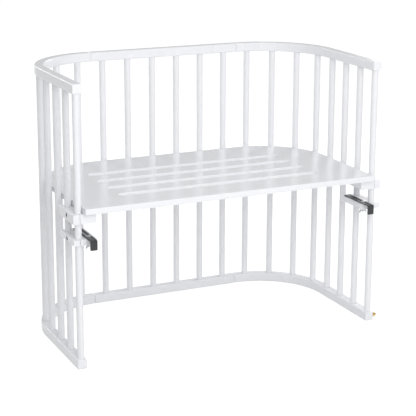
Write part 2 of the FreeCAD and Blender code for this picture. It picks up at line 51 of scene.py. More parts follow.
# Sizes read from the frame
MIDDLE_LOW, MIDDLE_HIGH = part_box("top_rail_middle")
ARM_LOW, ARM_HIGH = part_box("top_rail_right")
RAIL_WIDTH = MIDDLE_HIGH.y - MIDDLE_LOW.y
RAIL_HEIGHT = MIDDLE_HIGH.z - MIDDLE_LOW.z
HALF_STRAIGHT = MIDDLE_HIGH.x
HALF_SPAN = ARM_HIGH.x - RAIL_WIDTH / 2
BEND_RADIUS = HALF_SPAN - HALF_STRAIGHT
BEND_LENGTH = BEND_RADIUS * math.pi / 2
ARM_LENGTH = -BEND_RADIUS - ARM_LOW.y
TOP_LEVEL = (MIDDLE_LOW.z + MIDDLE_HIGH.z) / 2
BOTTOM_LEVEL = RAIL_HEIGHT / 2
RODS = sorted(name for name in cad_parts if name.startswith("rod_"))
ROD_LOW, ROD_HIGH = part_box(RODS[0])
ROD_RADIUS = (ROD_HIGH.x - ROD_LOW.x) / 2
BOARD_LOW, BOARD_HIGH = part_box("sleeping_board")
HOOK_LOW, HOOK_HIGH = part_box("steel_hook_right")
STUD_LOW, STUD_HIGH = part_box("hook_bolt_right")
NUT_LOW, NUT_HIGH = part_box("wing_nut_right")

# Sizes of rails, rods and board
RAIL_ROUND = 3.2 * MM
ROD_CHAMFER = 0.4 * MM
BOARD_ROUND = 1.6 * MM
BOARD_CORNER = 3.0 * MM
BOARD_SLOTS = 4
BOARD_SLOT_LENGTH = 625.0 * MM
BOARD_SLOT_WIDTH = 27.0 * MM
BOARD_SLOT_FIRST = 411.5 * MM
BOARD_SLOT_PITCH = 81.6 * MM

# Sizes of the clamps and their bolts
GROOVE_GAP = 0.3 * MM
STRIP_ROUND = 1.6 * MM
STRIP_ARRIS = 0.8 * MM
INNER_ROUND = 6.0 * MM
PARTING_ARRIS = 1.2 * MM
PARTING_GAP = 0.6 * MM
PARTING_DEPTH = 4.0 * MM
RECESS_RADIUS = 6.5 * MM
RECESS_DEPTH = 8.0 * MM
RECESS_FLARE = 0.6 * MM
BOLT_HEAD_RADIUS = 6.0 * MM
BOLT_HEAD_HEIGHT = 6.6 * MM
BOLT_HEAD_CHAMFER = 0.5 * MM
BOLT_KEY = 6.0 * MM
BOLT_KEY_DEPTH = 5.0 * MM

# Sizes of the hooks and their bolts
HOOK_PLATE = 3.0 * MM
HOOK_BEND = 5.0 * MM
HOOK_CORNER = 3.0 * MM
HOOK_ARRIS = 0.35 * MM
HOOK_SLOT_WIDTH = 6.6 * MM
HOOK_SLOT_START = 22.0 * MM
HOOK_SLOT_LENGTH = 96.0 * MM
HOOK_SLOT_FLARE = 0.3 * MM
SEAT_GAP = 0.05 * MM
STUD_RADIUS = 3.0 * MM
DOME_LIP = 0.2 * MM
NECK_ROUND = 0.3 * MM
THREAD_PITCH = 1.0 * MM
THREAD_DEPTH = 0.35 * MM

# Sizes of the wing nuts
BORE_GAP = 0.05 * MM
HUB_RADIUS = 5.0 * MM
HUB_TIP_RADIUS = 4.3 * MM
HUB_HEIGHT = 8.0 * MM
HUB_CHAMFER = 0.4 * MM
WING_REACH = 13.5 * MM
WING_PLATE = 2.6 * MM
WING_ROUND = 0.7 * MM
WING_TIP_RADIUS = 3.4 * MM
WING_WAIST = 2.6 * MM
WING_WAIST_DROP = 3.4 * MM
WING_ROOT_TOP = 1.2 * MM
WING_ROOT_FOOT = 7.0 * MM
WING_ROOT_DEPTH = 0.5 * MM

# Sizes of the brass knob
KNOB_FLANGE = 2.0 * MM
KNOB_CHAMFER = 0.4 * MM
KNOB_TIP_RADIUS = 4.5 * MM
KNOB_NOSE = 1.5 * MM

# How far a cutter reaches past what it cuts, and the least distance that counts
OVERCUT = 1.0 * MM
NEAR = 0.01 * MM

# Steps in round forms
TURNED_STEPS = 48
HUB_STEPS = 40
THREAD_STEPS = 32
HEXAGON = 6
RAIL_BEND_STEPS = 40
BOARD_BEND_STEPS = 36
SLOT_END_STEPS = 24
FLARE_STEPS = 6
END_STEPS = 5
CORNER_STEPS = 6
HOOK_BEND_STEPS = 8
DOME_STEPS = 10
WING_TIP_STEPS = 10

# Angles in degrees from which an edge is rounded by a modifier, and shaded as sharp
BEVEL_ANGLE = 35
SHARP_ANGLE = 30

# Colours and finish of the lacquer
LACQUER_WHITE = (0.852, 0.858, 0.884)
LACQUER_DIM = 0.985
LACQUER_UNEVEN = 0.12
LACQUER_IOR = 1.5

# Where most values of a noise texture lie
NOISE_LOW, NOISE_HIGH = 0.3, 0.7

# The floor: half its width in metres, its grey for bounced light, and its matt and its glowing share where
# it is seen directly
FLOOR_REACH = 30.0
FLOOR_GREY = 0.8
FLOOR_SHADE = 0.30
FLOOR_GLOW = 0.84

# Levels of the studio's light, where 1 is white, and one above them all
WHITE = 1.0
AROUND = 0.37
CEILING = 0.85
WALL = 1.50
UNCAPPED = 10.0

# Where these levels change, as heights on the sky from 0 at the horizon to 1 overhead
HORIZON_BAND = (0.02, 0.06)
WALL_BAND = (0.12, 0.40)
CEILING_BAND = (0.55, 0.85)

# About the middle of the crib, which the lamps point at
LAMP_AIM = Vector((0.0, -0.25, 0.45))

# The photograph's camera: millimetres of lens and sensor, shares of the frame, metres and degrees
CAMERA_SENSOR = 36.0
CAMERA_LENS = 114.0
CAMERA_SHIFT = (-0.024, -0.1)
CAMERA_PLACE = (-1.568, -3.688, 1.389)
CAMERA_TURN = (76.31, -0.29, -25.36)


# Mesh helpers


def make_object(name, mesh):
    """An object at the origin that holds a mesh."""
    piece = bpy.data.objects.new(name, mesh)
    bpy.context.scene.collection.objects.link(piece)
    return piece


def from_bmesh(name, shape):
    """Turns a bmesh into an object with outward faces and no doubled points."""
    bmesh.ops.remove_doubles(shape, verts=shape.verts, dist=1e-6)
    bmesh.ops.recalc_face_normals(shape, faces=shape.faces)
    mesh = bpy.data.meshes.new(name)
    shape.to_mesh(mesh)
    shape.free()
    return make_object(name, mesh)


def add_loft(shape, rings, capped=True):
    """A closed solid through rings of equal point counts. A ring of one point ends it in a tip, and
    without caps its last ring lies on its first."""
    layers = [[shape.verts.new(point) for point in ring] for ring in rings]
    for lower, upper in zip(layers, layers[1:]):
        count = max(len(lower), len(upper))
        for index in range(count):
            follow = (index + 1) % count
            corners = [lower[index % len(lower)], lower[follow % len(lower)]]
            corners += [upper[follow % len(upper)], upper[index % len(upper)]]
            unique = list(dict.fromkeys(corners))
            if len(unique) > 2:
                shape.faces.new(unique)
    if capped:
        for layer in (layers[0], layers[-1]):
            if len(layer) > 2:
                shape.faces.new(layer)


def loft(name, rings, capped=True):
    """An object made of one loft."""
    shape = bmesh.new()
    add_loft(shape, rings, capped)
    return from_bmesh(name, shape)


def arc(centre, radius, start, stop, steps):
    """Points on an arc in a plane, both ends included; angles in degrees."""
    across, up = centre
    angles = [math.radians(start + (stop - start) * step / steps) for step in range(steps + 1)]
    return [(across + radius * math.cos(angle), up + radius * math.sin(angle)) for angle in angles]


def turned_rings(profile, steps=TURNED_STEPS):
    """Rings of a solid of revolution about Z; profile holds (radius, height) pairs."""
    rings = []
    for radius, height in profile:
        if radius == 0:
            rings.append([Vector((0, 0, height))])
        else:
            rings.append([Vector((x, y, height)) for x, y in arc((0, 0), radius, 0, 360, steps)[:-1]])
    return rings


def rounded_section(width, height, radius, inset=0.0):
    """A rectangle with round corners, drawn in by an inset, as (across, up) pairs."""
    half_width, half_height = width / 2 - radius, height / 2 - radius
    corners = [(half_width, half_height, 0), (-half_width, half_height, 90)]
    corners += [(-half_width, -half_height, 180), (half_width, -half_height, 270)]
    points = []
    for across, up, start in corners:
        points += arc((across, up), max(radius - inset, NEAR), start, start + 90, CORNER_STEPS)
    return points


def rounded_ends(length, radius, stops=(), steps=END_STEPS):
    """(distance, inset) stations along a bar that round both its ends, with plain stops between."""
    angles = [math.pi / 2 * step / steps for step in range(steps + 1)]
    start = [(radius * (1 - math.sin(angle)), radius * (1 - math.cos(angle))) for angle in reversed(angles)]
    end = [(length - distance, inset) for distance, inset in reversed(start)]
    return start + [(stop, 0.0) for stop in stops] + end


def block(name, low, high):
    """A plain box, for use as a cutter."""
    corners = [(low.x, low.y), (high.x, low.y), (high.x, high.y), (low.x, high.y)]
    return loft(name, [[Vector((x, y, level)) for x, y in corners] for level in (low.z, high.z)])


def bevel(shape, edges, radius, segments):
    """Rounds some edges of a bmesh; a profile of 0.5 is a quarter circle."""
    bmesh.ops.bevel(shape, geom=edges, offset=radius, segments=segments, profile=0.5, affect="EDGES")


def run_modifiers(piece):
    """Applies an object's modifiers to its mesh."""
    bpy.context.view_layer.update()
    evaluated = piece.evaluated_get(bpy.context.evaluated_depsgraph_get())
    mesh = bpy.data.meshes.new_from_object(evaluated)
    piece.modifiers.clear()
    piece.data = mesh


def carve(piece, cutters):
    """Cuts solids out of a piece and removes the cutters."""
    for cutter in cutters:
        step = piece.modifiers.new("cut", "BOOLEAN")
        step.object = cutter
        step.solver = "EXACT"
    run_modifiers(piece)
    for cutter in cutters:
        bpy.data.objects.remove(cutter)


def soften(piece, width, segments):
    """Rounds every edge of a piece that is sharper than the bevel angle."""
    step = piece.modifiers.new("soften", "BEVEL")
    step.width = width
    step.segments = segments
    step.limit_method = "ANGLE"
    step.angle_limit = math.radians(BEVEL_ANGLE)
    run_modifiers(piece)


def smooth(piece):
    """Smooth shading with sharp edges kept, and flat faces that stay flat."""
    piece.data.shade_smooth()
    piece.data.set_sharp_from_angle(angle=math.radians(SHARP_ANGLE))
    weighting = piece.modifiers.new("weighted_normals", "WEIGHTED_NORMAL")
    weighting.keep_sharp = True


def mirror_x(piece, sign):
    """Mirrors a piece drawn for the right-hand side when it stands on the left."""
    if sign < 0:
        piece.data.transform(Matrix.Scale(-1, 4, Vector((1, 0, 0))))
        piece.data.flip_normals()


def dress(piece, material, body, node):
    """Gives a piece its material and its place in the frame."""
    piece.data.materials.clear()
    piece.data.materials.append(material)
    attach(piece, body)
    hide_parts(node)
    smooth(piece)


# Materials


class Nodes:
    """A small helper that builds a material's node tree."""

    def __init__(self, name):
        self.material = bpy.data.materials.new(name)
        self.material.use_nodes = True
        self.tree = self.material.node_tree
        self.shader = self.tree.nodes["Principled BSDF"]

    def add(self, kind, **values):
        """A node of a kind, with values for its sockets by their names."""
        node = self.tree.nodes.new(kind)
        for name, value in values.items():
            node.inputs[name.replace("_", " ").title()].default_value = value
        return node

    def link(self, source, target):
        """Joins an output to an input."""
        self.tree.links.new(source, target)

    def drive(self, name, source):
        """Joins an output to one of the shader's inputs."""
        self.link(source, self.shader.inputs[name])

    def coordinates(self, scale=(1, 1, 1)):
        """Object coordinates scaled by axis."""
        place = self.add("ShaderNodeTexCoord")
        mapping = self.add("ShaderNodeMapping", scale=scale)
        self.link(place.outputs["Object"], mapping.inputs["Vector"])
        return mapping.outputs["Vector"]

    def noise(self, vector, scale, detail=3.0, roughness=0.5):
        """A noise texture's value."""
        texture = self.add("ShaderNodeTexNoise", scale=scale, detail=detail, roughness=roughness)
        self.link(vector, texture.inputs["Vector"])
        return texture.outputs["Fac"]

    def spread(self, value, low, high):
        """Maps a noise texture's value to low..high."""
        limits = {"from_min": NOISE_LOW, "from_max": NOISE_HIGH, "to_min": low, "to_max": high}
        remap = self.add("ShaderNodeMapRange", **limits)
        self.link(value, remap.inputs["Value"])
        return remap.outputs["Result"]

    def tint(self, value, low, high):
        """A colour between two others by a noise texture's value."""
        ramp = self.add("ShaderNodeValToRGB")
        stops = ramp.color_ramp.elements
        for stop, position, colour in zip(stops, (NOISE_LOW, NOISE_HIGH), (low, high)):
            stop.position = position
            stop.color = (*colour, 1)
        self.link(value, ramp.inputs["Fac"])
        return ramp.outputs["Color"]

    def bump(self, value, distance, strength):
        """Raises the surface by a value."""
        bump = self.add("ShaderNodeBump", distance=distance, strength=strength)
        self.link(value, bump.inputs["Height"])
        self.drive("Normal", bump.outputs["Normal"])


def lacquer(name, grain, roughness, relief=0.4):
    """Cool white lacquer over close-grained wood: faint grain along one axis, slightly uneven gloss."""
    nodes = Nodes(name)
    fibre = nodes.noise(nodes.coordinates(grain), scale=60.0, detail=4.0, roughness=0.6)
    cloud = nodes.noise(nodes.coordinates(), scale=3.0)
    dim = tuple(channel * LACQUER_DIM for channel in LACQUER_WHITE)
    nodes.drive("Base Color", nodes.tint(cloud, dim, LACQUER_WHITE))
    smoothest, roughest = roughness * (1 - LACQUER_UNEVEN), roughness * (1 + LACQUER_UNEVEN)
    nodes.drive("Roughness", nodes.spread(cloud, smoothest, roughest))
    nodes.shader.inputs["IOR"].default_value = LACQUER_IOR
    nodes.bump(fibre, distance=0.03 * MM, strength=relief)
    return nodes.material


def powder_coat(name):
    """Black powder coat with its fine pebbled skin."""
    nodes = Nodes(name)
    place = nodes.coordinates()
    pebble = nodes.noise(place, scale=1400.0, detail=2.0)
    cloud = nodes.noise(place, scale=40.0)
    dark, light = (0.030, 0.030, 0.033), (0.046, 0.046, 0.050)
    nodes.drive("Base Color", nodes.tint(cloud, dark, light))
    nodes.drive("Roughness", nodes.spread(cloud, low=0.34, high=0.46))
    nodes.bump(pebble, distance=0.08 * MM, strength=0.7)
    return nodes.material


def metal(name, dark, light, roughness):
    """Bare or plated metal with fine tool marks."""
    nodes = Nodes(name)
    place = nodes.coordinates()
    marks = nodes.noise(place, scale=900.0)
    cloud = nodes.noise(place, scale=120.0)
    nodes.drive("Base Color", nodes.tint(cloud, dark, light))
    nodes.drive("Roughness", nodes.spread(marks, low=roughness * 0.8, high=roughness * 1.3))
    nodes.shader.inputs["Metallic"].default_value = 1.0
    nodes.bump(marks, distance=0.03 * MM, strength=0.5)
    return nodes.material


def raw_wood(name):
    """Plain beech for the hidden tenons, with its grain along X."""
    nodes = Nodes(name)
    fibre = nodes.noise(nodes.coordinates((1, 12, 12)), scale=60.0, detail=4.0)
    dark, light = (0.46, 0.30, 0.17), (0.60, 0.43, 0.27)
    nodes.drive("Base Color", nodes.tint(fibre, dark, light))
    nodes.shader.inputs["Roughness"].default_value = 0.7
    nodes.bump(fibre, distance=0.1 * MM, strength=0.5)
    return nodes.material


RAIL_LACQUER = lacquer("rail_lacquer", grain=(2, 2, 14), roughness=0.26)
ROD_LACQUER = lacquer("rod_lacquer", grain=(14, 14, 0.2), roughness=0.42, relief=0.12)
BOARD_LACQUER = lacquer("board_lacquer", grain=(1, 14, 14), roughness=0.20)
CLAMP_LACQUER = lacquer("clamp_lacquer", grain=(10, 1, 10), roughness=0.32)
BLACK_STEEL = powder_coat("black_steel")
# Clamp bolt heads: a dark steel finish, made darker still as painted shade, so the heads read as dark as
# the shade inside their recesses
BOLT_STEEL_WITH_PAINTED_SHADE = metal("bolt_steel", (0.03, 0.04, 0.06), (0.07, 0.09, 0.12), roughness=0.30)
STUD_STEEL = metal("stud_steel", (0.60, 0.60, 0.60), (0.74, 0.74, 0.74), roughness=0.36)
NUT_STEEL = metal("nut_steel", (0.52, 0.53, 0.55), (0.64, 0.65, 0.67), roughness=0.42)
BRASS = metal("brass", (0.62, 0.42, 0.13), (0.78, 0.56, 0.22), roughness=0.28)
BEECH = raw_wood("beech")


# Rails


def arm_point(distance):
    """Place and direction on the right side rail's centre line, from the seam to the front end."""
    if distance < BEND_LENGTH:
        turn = distance / BEND_RADIUS
        x = HALF_STRAIGHT + BEND_RADIUS * math.sin(turn)
        y = -BEND_RADIUS * (1 - math.cos(turn))
        return Vector((x, y, 0)), Vector((math.cos(turn), -math.sin(turn), 0))
    return Vector((HALF_SPAN, -BEND_RADIUS - (distance - BEND_LENGTH), 0)), Vector((0, -1, 0))


def back_point(distance):
    """Place and direction on the middle rail's centre line, from left to right."""
    return Vector((distance - HALF_STRAIGHT, 0, 0)), Vector((1, 0, 0))


def swept_rail(name, path, length, stops, level):
    """A square rail with rounded edges that follows a path at a height."""
    rings = []
    for distance, inset in rounded_ends(length, RAIL_ROUND, stops):
        centre, direction = path(distance)
        side = Vector((direction.y, -direction.x, 0))
        section = rounded_section(RAIL_WIDTH, RAIL_HEIGHT, RAIL_ROUND, inset)
        rings.append([centre + side * across + Vector((0, 0, level + up)) for across, up in section])
    return loft(name, rings)


def build_rails():
    """The six pieces of the two U-shaped rails."""
    arm_length = BEND_LENGTH + ARM_LENGTH
    bend_stops = [BEND_LENGTH * step / RAIL_BEND_STEPS for step in range(1, RAIL_BEND_STEPS + 1)]
    for height, level in (("top", TOP_LEVEL), ("bottom", BOTTOM_LEVEL)):
        middle = swept_rail(f"{height}_middle", back_point, 2 * HALF_STRAIGHT, [HALF_STRAIGHT], level)
        dress(middle, RAIL_LACQUER, "frame", f"{height}_rail_middle")
        for side, sign in SIDES.items():
            arm = swept_rail(f"{height}_{side}", arm_point, arm_length, bend_stops, level)
            mirror_x(arm, sign)
            dress(arm, RAIL_LACQUER, "frame", f"{height}_rail_{side}")


# Rods


def build_rods():
    """Round rods between the rails; their chamfered ends leave a hairline of shadow at the wood."""
    for node in RODS:
        low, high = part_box(node)
        middle = (low + high) / 2
        profile = [
            (0, low.z),
            (ROD_RADIUS - ROD_CHAMFER, low.z),
            (ROD_RADIUS, low.z + ROD_CHAMFER),
            (ROD_RADIUS, high.z - ROD_CHAMFER),
            (ROD_RADIUS - ROD_CHAMFER, high.z),
            (0, high.z),
        ]
        rod = loft(node.replace("rod", "round_rod"), turned_rings(profile))
        rod.data.transform(Matrix.Translation((middle.x, middle.y, 0)))
        dress(rod, ROD_LACQUER, "frame", node)


# Sleeping board


def board_outline(inset):
    """The board's edge line drawn in by an inset: straight front, round front corners, quarter bends."""
    half = BOARD_HIGH.x - inset
    front, back = BOARD_LOW.y + inset, BOARD_HIGH.y - inset
    bend = BOARD_HIGH.x - HALF_STRAIGHT - inset
    corner = BOARD_CORNER - inset
    points = arc((half - corner, front + corner), corner, -90, 0, CORNER_STEPS)
    points += arc((HALF_STRAIGHT, back - bend), bend, 0, 90, BOARD_BEND_STEPS)
    points += arc((-HALF_STRAIGHT, back - bend), bend, 90, 180, BOARD_BEND_STEPS)
    points += arc((corner - half, front + corner), corner, 180, 270, CORNER_STEPS)
    return points


def slot_outline(length, width, outset):
    """A slot along X with round ends, let out by an outset."""
    radius = width / 2 + outset
    reach = (length - width) / 2
    right_end = arc((reach, 0), radius, -90, 90, SLOT_END_STEPS)
    return right_end + arc((-reach, 0), radius, 90, 270, SLOT_END_STEPS)


def slot_cutter(length, width, low, high, flare):
    """A cutter for a slot along X through a plate; its mouths flare, so the slot's edges come out round."""
    through = rounded_ends(high - low, flare, steps=FLARE_STEPS)
    stations = [(low - OVERCUT, flare)]
    stations += [(low + rise, outset) for rise, outset in through]
    stations += [(high + OVERCUT, flare)]
    rings = []
    for level, outset in stations:
        rings.append([Vector((x, y, level)) for x, y in slot_outline(length, width, outset)])
    return loft("slot", rings)


def build_board():
    """The sleeping board with softly rounded edges and four air slots."""
    low, high = BOARD_LOW.z, BOARD_HIGH.z
    edge = rounded_ends(high - low, BOARD_ROUND)
    rings = [[Vector((x, y, low + rise)) for x, y in board_outline(inset)] for rise, inset in edge]
    board = loft("board", rings)
    cutters = []
    for index in range(BOARD_SLOTS):
        cutter = slot_cutter(BOARD_SLOT_LENGTH, BOARD_SLOT_WIDTH, low, high, BOARD_ROUND)
        row = BOARD_SLOT_PITCH * index - BOARD_SLOT_FIRST
        cutter.data.transform(Matrix.Translation((0, row, 0)))
        cutters.append(cutter)
    carve(board, cutters)
    dress(board, BOARD_LACQUER, "deck", "sleeping_board")


# Clamps


def shaped_block(name, low, high, rounds):
    """A box whose edges get the radius that the rounds function gives for an edge's middle point and
    direction."""
    shape = bmesh.new()
    bmesh.ops.create_cube(shape, size=1)
    size, middle = high - low, (high + low) / 2
    bmesh.ops.transform(shape, matrix=Matrix.Diagonal((*size, 1)), verts=shape.verts)
    bmesh.ops.transform(shape, matrix=Matrix.Translation(middle), verts=shape.verts)
    groups = {}
    for edge in shape.edges:
        first, last = edge.verts
        radius = rounds((first.co + last.co) / 2, (last.co - first.co).normalized())
        groups.setdefault(radius, []).append(edge)
    for radius in sorted(groups, reverse=True):
        bevel(shape, [edge for edge in groups[radius] if edge.is_valid], radius, segments=5)
    return from_bmesh(name, shape)


def outward_axis(low, high):
    """The direction in which a clamp faces away from the crib: sideways on the arms, else back."""
    middle = (low + high) / 2
    if abs(middle.x) > HALF_STRAIGHT:
        return Vector((math.copysign(1, middle.x), 0, 0))
    return Vector((0, 1, 0))


def set_on_face(piece, low, high, outward):
    """Turns a piece drawn along Z outward, and sets it on the middle of a strip's outward face."""
    face = (low + high) / 2 + outward * abs((high - low).dot(outward)) / 2
    piece.data.transform(Vector((0, 0, 1)).rotation_difference(outward).to_matrix().to_4x4())
    piece.data.transform(Matrix.Translation(face))


def rod_cutters(low, high):
    """Cutters for the grooves where rods pass a strip."""
    groove = ROD_RADIUS + GROOVE_GAP
    cutters = []
    for node in RODS:
        rod_low, rod_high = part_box(node)
        x, y = (rod_low.x + rod_high.x) / 2, (rod_low.y + rod_high.y) / 2
        passes_x = low.x - ROD_RADIUS < x < high.x + ROD_RADIUS
        passes_y = low.y - ROD_RADIUS < y < high.y + ROD_RADIUS
        if passes_x and passes_y:
            cutter = loft("groove", turned_rings([(groove, low.z - OVERCUT), (groove, high.z + OVERCUT)]))
            cutter.data.transform(Matrix.Translation((x, y, 0)))
            cutters.append(cutter)
    return cutters


def parting_cutters(low, high, outward, outer):
    """Cutters for the shadow line round the face where a strip meets its partner."""
    meeting = -outward if outer else outward
    across = max(range(3), key=lambda axis: abs(meeting[axis]))
    past = Vector((OVERCUT, OVERCUT, OVERCUT))
    start, stop = low - past, high + past
    if meeting[across] > 0:
        start[across] = high[across] - PARTING_GAP
    else:
        stop[across] = low[across] + PARTING_GAP
    cutters = []
    for axis in range(3):
        if axis != across:
            foot, head = stop.copy(), start.copy()
            foot[axis] = low[axis] + PARTING_DEPTH
            head[axis] = high[axis] - PARTING_DEPTH
            cutters += [block("parting", start, foot), block("parting", head, stop)]
    return cutters


def recess_cutter(low, high, outward):
    """A cutter for the bolt's recess, with a softened mouth."""
    profile = [
        (0, -RECESS_DEPTH),
        (RECESS_RADIUS, -RECESS_DEPTH),
        (RECESS_RADIUS, -RECESS_FLARE),
        (RECESS_RADIUS + RECESS_FLARE, 0),
        (RECESS_RADIUS + RECESS_FLARE, OVERCUT),
        (0, OVERCUT),
    ]
    cutter = loft("recess", turned_rings(profile))
    set_on_face(cutter, low, high, outward)
    return cutter


def build_strip(node, body):
    """One clamp strip: softened edges, rod grooves and, on an outer strip, the bolt's recess."""
    low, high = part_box(node)
    outward = outward_axis(low, high)
    outer = node.endswith("outer")
    middle = (low + high) / 2

    def rounds(point, direction):
        """Rounds on the side that shows, a wider arris where two strips meet, a small one elsewhere."""
        away = (point - middle).dot(outward)
        across = abs(direction.dot(outward)) > 0.5
        if not across and (away < 0) == outer:
            return PARTING_ARRIS
        if outer:
            return STRIP_ROUND if away > 0 and direction.z == 0 else STRIP_ARRIS
        lower_inner = away < 0 and point.z < middle.z and not across
        return INNER_ROUND if lower_inner and direction.z == 0 else STRIP_ARRIS

    strip = shaped_block(node.replace("clamp", "strip"), low, high, rounds)
    cutters = rod_cutters(low, high) + parting_cutters(low, high, outward, outer)
    if outer:
        cutters.append(recess_cutter(low, high, outward))
    carve(strip, cutters)
    dress(strip, CLAMP_LACQUER, body, node)


def clamp_bolt(name, outer_node, body, node):
    """A cap screw with a hexagon socket, seated in the recess of an outer strip."""
    low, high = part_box(outer_node)
    top = BOLT_HEAD_HEIGHT - RECESS_DEPTH
    profile = [
        (0, -RECESS_DEPTH),
        (BOLT_HEAD_RADIUS, -RECESS_DEPTH),
        (BOLT_HEAD_RADIUS, top - BOLT_HEAD_CHAMFER),
        (BOLT_HEAD_RADIUS - BOLT_HEAD_CHAMFER, top),
        (0, top),
    ]
    bolt = loft(name, turned_rings(profile))
    corner = BOLT_KEY / 2 / math.cos(math.pi / HEXAGON)
    key = loft("key", turned_rings([(corner, top - BOLT_KEY_DEPTH), (corner, top + OVERCUT)], HEXAGON))
    carve(bolt, [key])
    set_on_face(bolt, low, high, outward_axis(low, high))
    dress(bolt, BOLT_STEEL_WITH_PAINTED_SHADE, body, node)


def build_clamps():
    """All clamp strips and their bolts."""
    for side in SIDES:
        for part in ("outer", "inner"):
            build_strip(f"deck_clamp_{side}_{part}", "deck")
            build_strip(f"back_clamp_{side}_{part}", "deck")
            build_strip(f"hook_clamp_{side}_{part}", f"hook_clamp_{side}")
        clamp_bolt(f"deck_bolt_{side}", f"deck_clamp_{side}_outer", "deck", "deck_clamp_bolts")
        clamp_bolt(f"back_bolt_{side}", f"back_clamp_{side}_outer", "deck", "deck_clamp_bolts")
        bolt_node = f"hook_clamp_bolt_{side}"
        clamp_bolt(f"hook_bolt_{side}", f"hook_clamp_{side}_outer", f"hook_clamp_{side}", bolt_node)


# Hooks


def hook_profile(low, high):
    """The bent bar seen from the side, as (y, z) pairs."""
    centre = (low.y + HOOK_BEND, high.z - HOOK_BEND)
    outside = arc(centre, HOOK_BEND, 180, 90, HOOK_BEND_STEPS)
    inside = arc(centre, HOOK_BEND - HOOK_PLATE, 90, 180, HOOK_BEND_STEPS)
    back = [(high.y, high.z), (high.y, high.z - HOOK_PLATE)]
    return [(low.y, low.z)] + outside + back + inside + [(low.y + HOOK_PLATE, low.z)]


def corner_posts(shape, low, high):
    """The four short edges at the two ends of the bar."""
    posts = []
    for edge in shape.edges:
        first, last = [vert.co for vert in edge.verts]
        middle, line = (first + last) / 2, last - first
        at_foot = abs(middle.z - low.z) < NEAR and abs(line.y) > NEAR
        at_back = abs(middle.y - high.y) < NEAR and abs(line.z) > NEAR
        if at_foot or at_back:
            posts.append(edge)
    return posts


def build_hook(side, sign):
    """A black steel hook: a flat bar with a long slot and its end bent down."""
    low, high = HOOK_LOW, HOOK_HIGH
    shape = bmesh.new()
    add_loft(shape, [[Vector((x, y, z)) for y, z in hook_profile(low, high)] for x in (low.x, high.x)])
    bevel(shape, corner_posts(shape, low, high), HOOK_CORNER, segments=6)
    hook = from_bmesh(f"hook_bar_{side}", shape)
    slot = slot_cutter(HOOK_SLOT_LENGTH, HOOK_SLOT_WIDTH, high.z - HOOK_PLATE, high.z, HOOK_SLOT_FLARE)
    slot.data.transform(Matrix.Rotation(math.pi / 2, 4, "Z"))
    centre_y = low.y + HOOK_SLOT_START + HOOK_SLOT_LENGTH / 2
    slot.data.transform(Matrix.Translation(((low.x + high.x) / 2, centre_y, 0)))
    carve(hook, [slot])
    soften(hook, HOOK_ARRIS, segments=2)
    mirror_x(hook, sign)
    dress(hook, BLACK_STEEL, f"hook_{side}", f"steel_hook_{side}")


def thread_profile(radius, low, high):
    """(radius, height) pairs of a threaded rod, crest by crest."""
    pairs = []
    turns = int((high - low) / THREAD_PITCH)
    for turn in range(turns):
        foot = low + turn * THREAD_PITCH
        pairs += [(radius - THREAD_DEPTH, foot), (radius, foot + THREAD_PITCH / 2)]
    return pairs + [(radius - THREAD_DEPTH, high)]


def build_hook_bolt(side, sign):
    """The hook's domed bolt with a square neck and a threaded shank; its dome lies just clear of the
    hook, which slides under it."""
    low, high = STUD_LOW, STUD_HIGH
    middle = (low + high) / 2
    reach = (high.x - low.x) / 2
    seat = HOOK_HIGH.z
    rest = seat + SEAT_GAP
    rise = high.z - seat
    sphere = (reach ** 2 + rise ** 2) / (2 * rise)
    tilt = math.degrees(math.asin(reach / sphere))
    dome = arc((0, high.z - sphere), sphere, 90 - tilt, 90, DOME_STEPS)
    cap = [(0, rest), (reach - DOME_LIP, rest)] + dome[1:-1] + [(0, high.z)]
    neck = rounded_section(2 * STUD_RADIUS, 2 * STUD_RADIUS, NECK_ROUND)
    thread = thread_profile(STUD_RADIUS, low.z, seat - HOOK_PLATE)
    shank = [(0, low.z)] + thread + [(0, seat - HOOK_PLATE)]
    shape = bmesh.new()
    add_loft(shape, turned_rings(cap))
    add_loft(shape, [[Vector((x, y, level)) for x, y in neck] for level in (seat - HOOK_PLATE, rest)])
    add_loft(shape, turned_rings(shank, THREAD_STEPS))
    bolt = from_bmesh(f"domed_bolt_{side}", shape)
    bolt.data.transform(Matrix.Translation((middle.x, middle.y, 0)))
    mirror_x(bolt, sign)
    dress(bolt, STUD_STEEL, f"hook_clamp_{side}", f"hook_bolt_{side}")


def wing_outline(sign):
    """One wing of a nut seen from the front, as (across, up) pairs below the seat."""
    root = HUB_TIP_RADIUS - WING_ROOT_DEPTH
    tip = (WING_REACH - WING_TIP_RADIUS, NUT_LOW.z - NUT_HIGH.z + WING_TIP_RADIUS)
    points = [(root, -WING_ROOT_FOOT)]
    points += arc(tip, WING_TIP_RADIUS, -120, 20, WING_TIP_STEPS)
    points += [(HUB_TIP_RADIUS + WING_WAIST, -WING_WAIST_DROP), (root, -WING_ROOT_TOP)]
    return [(sign * across, up) for across, up in points]


def wing(name, sign):
    """One wing of a nut: a plate with rounded edges."""
    rings = []
    for depth in (-WING_PLATE / 2, WING_PLATE / 2):
        rings.append([Vector((across, depth, up)) for across, up in wing_outline(sign)])
    piece = loft(name, rings)
    soften(piece, WING_ROUND, segments=3)
    return piece


def join(name, pieces):
    """One object from several, each a closed solid."""
    shape = bmesh.new()
    for piece in pieces:
        shape.from_mesh(piece.data)
        bpy.data.objects.remove(piece)
    return from_bmesh(name, shape)


def nut_turn(node):
    """The angle of a wing nut about its bolt, taken from its farthest point, and its middle."""
    low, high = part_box(node)
    middle = (low + high) / 2
    far = max(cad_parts[node].data.vertices, key=lambda vert: (vert.co - middle).xy.length)
    return math.atan2(far.co.y - middle.y, far.co.x - middle.x), middle


